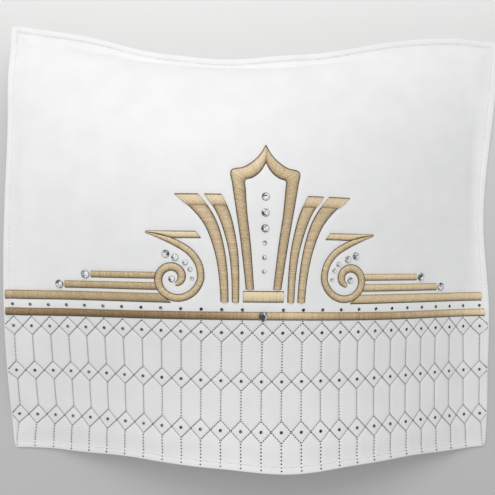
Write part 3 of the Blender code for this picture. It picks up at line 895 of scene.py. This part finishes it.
def quilt_paths():
    """Rising and falling diagonals and the uprights between the diamonds."""
    rising, falling, uprights = [], [], []
    limit = HALF - 1.2
    for k in COLUMNS:
        s = k * CELL
        for row in DIAMOND_ROWS:
            for ds, dt in ((1, 1), (1, -1), (-1, 1), (-1, -1)):
                reach = min(1.0, (limit - abs(s)) / DIAMOND) if ds * s > 0 else 1.0
                side_end = (s + ds * DIAMOND * reach, row + dt * DIAMOND * (1 - reach))
                (falling if ds == dt else rising).append([(s, row + dt * DIAMOND), side_end])
        uprights.append([(s, 1.2), (s, DIAMOND_ROWS[0] - DIAMOND)])
        for low, high in zip(DIAMOND_ROWS, DIAMOND_ROWS[1:]):
            uprights.append([(s, low + DIAMOND), (s, high - DIAMOND)])
        uprights.append([(s, DIAMOND_ROWS[-1] + DIAMOND), (s, LOW_BAR[0] - sagging(s))])
    return rising, falling, uprights


def left_heavy(s):
    """Radius of the diagonal thread; it looks heavier on one side of the cover."""
    return 0.48 + 0.3 * smooth(0.5 - s / 200)


def right_heavy(s):
    return left_heavy(-s)


rising, falling, uprights = quilt_paths()
thread_piece("quilting_thread_rising", rising, DARK_THREAD_LOOK,
             length=1.7, gap=0.6, radius=left_heavy, height=0.12)
thread_piece("quilting_thread_falling", falling, DARK_THREAD_LOOK,
             length=1.7, gap=0.6, radius=right_heavy, height=0.12)
thread_piece("quilting_thread_upright", uprights, DARK_THREAD_LOOK,
             length=1.2, gap=1.8, radius=lambda s: 1.08, height=0.1)
border = rounded_rectangle(TOPSTITCH, 3.0, 2.0)[:, :2]
thread_piece("topstitch_thread", [np.concatenate([border, border[:1]])], WHITE_THREAD_LOOK,
             length=2.6, gap=1.2, radius=lambda s: 0.52, height=0.2)

OUTLINE_STEP, OUTLINE_RADIUS, OUTLINE_HEIGHT = 1.4, 0.33, 0.2
OUTLINE_TONES, UPPER_OUTLINE_PAINTED_HIGHLIGHT = 0.15, 0.75


def outline_piece():
    """A fine running thread round every embroidered shape, its dark colour partly painted shadow
    along the satin's edges, with a painted highlight along the bars' upper edges.
    """
    all_points, all_faces, all_tone, all_uv = [], [], [], []
    start, sides = 0, 5
    angle = 2 * math.pi * np.arange(sides) / sides
    for name, parts in BANDS.items():
        first_left, first_right = parts[0]
        if len(parts) == 2:
            head_low, head_high = parts[1]
            rim = np.concatenate([first_left, head_low[:1], head_high, head_low[-1:],
                                  first_right[::-1]])
        else:
            rim = np.concatenate([first_left, first_right[::-1]])
        closed = np.concatenate([rim, rim[:1]])
        along = np.concatenate([[0], np.cumsum(step_lengths(closed))])
        turns = np.diff(closed, axis=0) / np.maximum(np.diff(along), 1e-9)[:, None]
        sharp = (turns * np.roll(turns, 1, axis=0)).sum(axis=1) < 0.8
        corners = along[:-1][sharp & (np.diff(along) > 1e-6)]
        spots = np.linspace(0, along[-1], max(8, int(along[-1] / OUTLINE_STEP)) + 1)[:-1]
        spots = spots[np.abs(spots[:, None] - corners[None]).min(axis=1, initial=99) > 0.5]
        at = np.sort(np.concatenate([spots, corners, corners + 0.02]))
        path = on_line(at, along, closed)
        direction = np.roll(path, -1, axis=0) - np.roll(path, 1, axis=0)
        direction /= np.maximum(np.linalg.norm(direction, axis=1, keepdims=True), 1e-6)
        size = OUTLINE_RADIUS + 0.06 * np.sin(at * 2.2)
        ring_s = path[:, :1] - direction[:, 1:] * np.cos(angle) * size[:, None]
        ring_t = path[:, 1:] + direction[:, :1] * np.cos(angle) * size[:, None]
        base = skin(path[:, 0], path[:, 1]) + OUTLINE_HEIGHT
        offset = base[:, None] + np.sin(angle) * size[:, None]
        all_points.append(lay(ring_s, ring_t, offset).reshape(-1, 3))
        count = len(path)
        a, b, c, d = tube_corners(count, sides)
        all_faces.append(start + np.stack([a, d, c, b], axis=1))
        upper = path[:, 1] > (closed[:, 1].min() + closed[:, 1].max()) / 2
        # Painted highlight: the outline along each bar's upper edge is made pale.
        pale = UPPER_OUTLINE_PAINTED_HIGHLIGHT * upper * name.startswith("gold_bar")
        all_tone.append(np.repeat(OUTLINE_TONES * RNG.random(count) + pale, sides))
        all_uv.append(flat_uv(ring_s, ring_t))
        start += count * sides
    points, faces, tone, uv = (np.concatenate(v) for v in (all_points, all_faces, all_tone, all_uv))
    make_piece("outline_thread_and_edge_shadow", points, [faces], OUTLINE_LOOK, slot="gold_thread",
               tone=tone, uv=uv)


outline_piece()


# ---- stones ------------------------------------------------------------------
STONE_HEIGHT, STONE_SINK = 0.5, 0.15
# The facet tones are painted reflections; the girdle's tone paints a thin dark ring of shade round
# each stone.
BACK_TONE, GIRDLE_PAINTED_SHADE = 0.5, 0.37
LARGE_FACETS, SMALL_FACETS = 12, 8


def cut_stone(s, t, radius, lift, facets, tones, spin):
    """A brilliant-cut flat-back: girdle, two rows of crown facets and a table, each facet apart.

    tones holds five values for each of the stone's sectors, one for each kind of facet; they are
    painted reflections, dark or white."""
    base = lay(s, t, skin(s, t) + lift)
    across = lay(s + 1, t, 0) - lay(s - 1, t, 0)
    along = lay(s, t + 1, 0) - lay(s, t - 1, 0)
    across /= np.linalg.norm(across)
    up = np.cross(across, along)
    up /= np.linalg.norm(up)
    along = np.cross(up, across)
    tall = STONE_HEIGHT * radius

    def ring(share, level, shift):
        angle = spin + 2 * math.pi * (np.arange(facets) + shift) / facets
        flat = across[None] * np.cos(angle)[:, None] + along[None] * np.sin(angle)[:, None]
        return base + flat * radius * share * MM + up * (level * tall - STONE_SINK) * MM

    back, girdle, low = ring(0.9, 0.0, 0), ring(1.0, 0.2, 0), ring(0.9, 0.42, 0)
    middle, table = ring(0.74, 0.74, 0.5), ring(0.46, 1.0, 0)
    points, faces, tone = [], [], []

    def facet(corners, value):
        faces.append(np.arange(len(points), len(points) + len(corners)))
        points.extend(corners)
        tone.extend([value] * len(corners))

    for k in range(facets):
        n = (k + 1) % facets
        facet([back[k], back[n], girdle[n], girdle[k]], BACK_TONE)
        facet([girdle[k], girdle[n], low[n], low[k]], GIRDLE_PAINTED_SHADE)
        facet([low[k], low[n], middle[k]], tones[k][0])
        facet([low[n], middle[n], middle[k]], tones[k][1])
        facet([middle[k], middle[n], table[n]], tones[k][2])
        facet([middle[k], table[n], table[k]], tones[k][3])
    middle_point = table.mean(axis=0)
    for k in range(facets):
        facet([table[k], table[(k + 1) % facets], middle_point], tones[k][4])
    facet(list(back[::-1]), BACK_TONE)
    return points, faces, tone


def stone_piece(name, stones, material, facets, replaces=(), dark=0.42):
    """Stones as one piece, with painted reflections; dark is the share of dark facets, more of them
    on a painted shadow side.
    """
    points, faces, tone = [], [], []
    for s, t, radius, lift in stones:
        spin = RNG.uniform(0, 6.28)
        shadow_side = math.radians(RNG.normal(130, 30))
        around = np.cos(spin + 2 * math.pi * np.arange(facets) / facets - shadow_side)
        chance = dark + np.array([0.2, 0.1, 0, 0, -0.05])
        chance = chance + around[:, None] * [0.3, 0.4, 0.55, 0.5, 0.35]
        tones = np.where(RNG.random((facets, 5)) < chance, RNG.uniform(0, 0.3, (facets, 5)),
                         RNG.uniform(0.7, 1.0, (facets, 5)))
        p, f, v = cut_stone(s, t, radius, lift, facets, tones, spin)
        faces += [x + len(points) for x in f]
        points += p
        tone += v
    grouped = []
    for size in sorted({len(f) for f in faces}):
        grouped.append(np.array([f for f in faces if len(f) == size]))
    return make_piece(name, np.array(points), grouped, material, replaces=replaces, slot="crystal",
                      tone=tone, flat=True, uv=np.zeros((len(points), 2)))


def large_stone(node, s, t, radius, lift=0.0, **options):
    stone_piece(node + "_cut", [(s, t, radius, lift)], CRYSTAL_LOOK, LARGE_FACETS,
                replaces=[node], **options)


# dark sets how much of each stone is painted dark, as reflection and shade.
for k, (t, radius) in enumerate(COLUMN_STONES):
    large_stone("stone_column_%d" % (k + 1), 0.0, t, radius)
large_stone("stone_low_bar", *LOW_BAR_STONE, LOW_BAR_STONE_LIFT, dark=0.82)
for side, word in SIDES:
    for k, (s, t, radius) in enumerate(ARC_STONES):
        large_stone("stone_arc_%s_%d" % (word, k + 1), side * s, t, radius, dark=0.26)
    for kind, (s, t, radius), dark in (("curl", CURL_STONE, 0.3),
                                       ("middle_bar", MIDDLE_BAR_STONE, 0.45),
                                       ("short_bar", SHORT_BAR_STONE, 0.45)):
        large_stone("stone_%s_%s" % (kind, word), side * s, t, radius, dark=dark)
quilt_stones = [(k * CELL, row, SMALL_STONE, 0.1) for k in COLUMNS for row in DIAMOND_ROWS]
stone_piece("stones_small_quilt", quilt_stones, SMALL_CRYSTAL_LOOK, SMALL_FACETS, dark=0.98)
band_stones = [(k * CELL, BAND_STONE_T, SMALL_STONE, 0.3) for k in COLUMNS if k != 0]
stone_piece("stones_small_band", band_stones, SMALL_CRYSTAL_LOOK, SMALL_FACETS, dark=0.96)


# ---- floor, light, camera ----------------------------------------------------
FLOOR_REACH, FLOOR_DROP = 4.0, 0.0002
FLOOR_PAINTED_LIGHT_FROM, FLOOR_PAINTED_LIGHT_TO = -0.1, 0.28
LIGHTS = (("key", (-0.12, 1.4, 1.42), (1.4, 1.0), 12.6),
          ("side", (-1.0, 0.7, 1.4), (1.2, 1.2), 6.4),
          ("top", (0.0, 0.0, 2.0), (1.6, 1.6), 6.1))
SKY_COLOUR, SKY_STRENGTH = (0.97, 0.98, 1.0, 1), 0.49


def floor():
    """A wide pale sheet with painted light and shade: a little darker in front of the cover than
    behind it.
    """
    mesh = bpy.data.meshes.new("floor")
    r = FLOOR_REACH
    mesh.from_pydata([(-r, -r, 0), (r, -r, 0), (r, r, 0), (-r, r, 0)], [], [(0, 1, 2, 3)])
    look = Look("floor_pale", (0.56, 0.56, 0.555), 0.7, 0.3)
    place = look.node("ShaderNodeTexCoord").outputs["Object"]
    split = look.node("ShaderNodeSeparateXYZ")
    look.link(place, split.inputs["Vector"])
    back = look.node("ShaderNodeMapRange")
    back.inputs["From Min"].default_value = FLOOR_PAINTED_LIGHT_FROM
    back.inputs["From Max"].default_value = FLOOR_PAINTED_LIGHT_TO
    look.link(split.outputs["Y"], back.inputs["Value"])
    # Painted light: the floor's colour grows lighter towards the back.
    shades = [(0.0, (0.54, 0.538, 0.53)), (0.3, (0.605, 0.603, 0.595)), (0.6, (0.65, 0.647, 0.637)),
              (1.0, (0.84, 0.835, 0.82))]
    look.link(look.ramp(back.outputs["Result"], shades), look.shader.inputs["Base Color"])
    mesh.materials.append(look.material)
    obj = bpy.data.objects.new("floor", mesh)
    bpy.context.scene.collection.objects.link(obj)
    obj.location.z = -FLOOR_DROP


def area_light(name, place, size, power):
    """A rectangular light that faces the middle of the cover's base."""
    data = bpy.data.lights.new(name, "AREA")
    data.shape = "RECTANGLE"
    data.size, data.size_y = size
    data.energy = power
    obj = bpy.data.objects.new(name, data)
    obj.location = place
    obj.rotation_mode = "QUATERNION"
    obj.rotation_quaternion = (-Vector(place)).to_track_quat("-Z", "Y")
    bpy.context.scene.collection.objects.link(obj)


floor()
for light in LIGHTS:
    area_light(*light)
world = bpy.data.worlds.new("studio")
world.use_nodes = True
background = world.node_tree.nodes["Background"]
background.inputs["Color"].default_value = SKY_COLOUR
background.inputs["Strength"].default_value = SKY_STRENGTH
bpy.context.scene.world = world

camera_data = bpy.data.cameras.new("camera")
camera_data.sensor_width = SENSOR
camera_data.lens = FOCAL_PIXELS / PICTURE_PIXELS * SENSOR
camera_data.clip_start, camera_data.clip_end = 0.01, 20.0
camera = bpy.data.objects.new("camera", camera_data)
bpy.context.scene.collection.objects.link(camera)
turn = Vector([math.radians(a) for a in CAMERA_TURN])
rotation = Quaternion(turn.normalized(), turn.length).to_matrix().inverted()
camera.matrix_world = Matrix.Translation(Vector(CAMERA_PLACE) * MM) @ rotation.to_4x4()
bpy.context.scene.camera = camera
bpy.context.scene.view_settings.view_transform = "Standard"
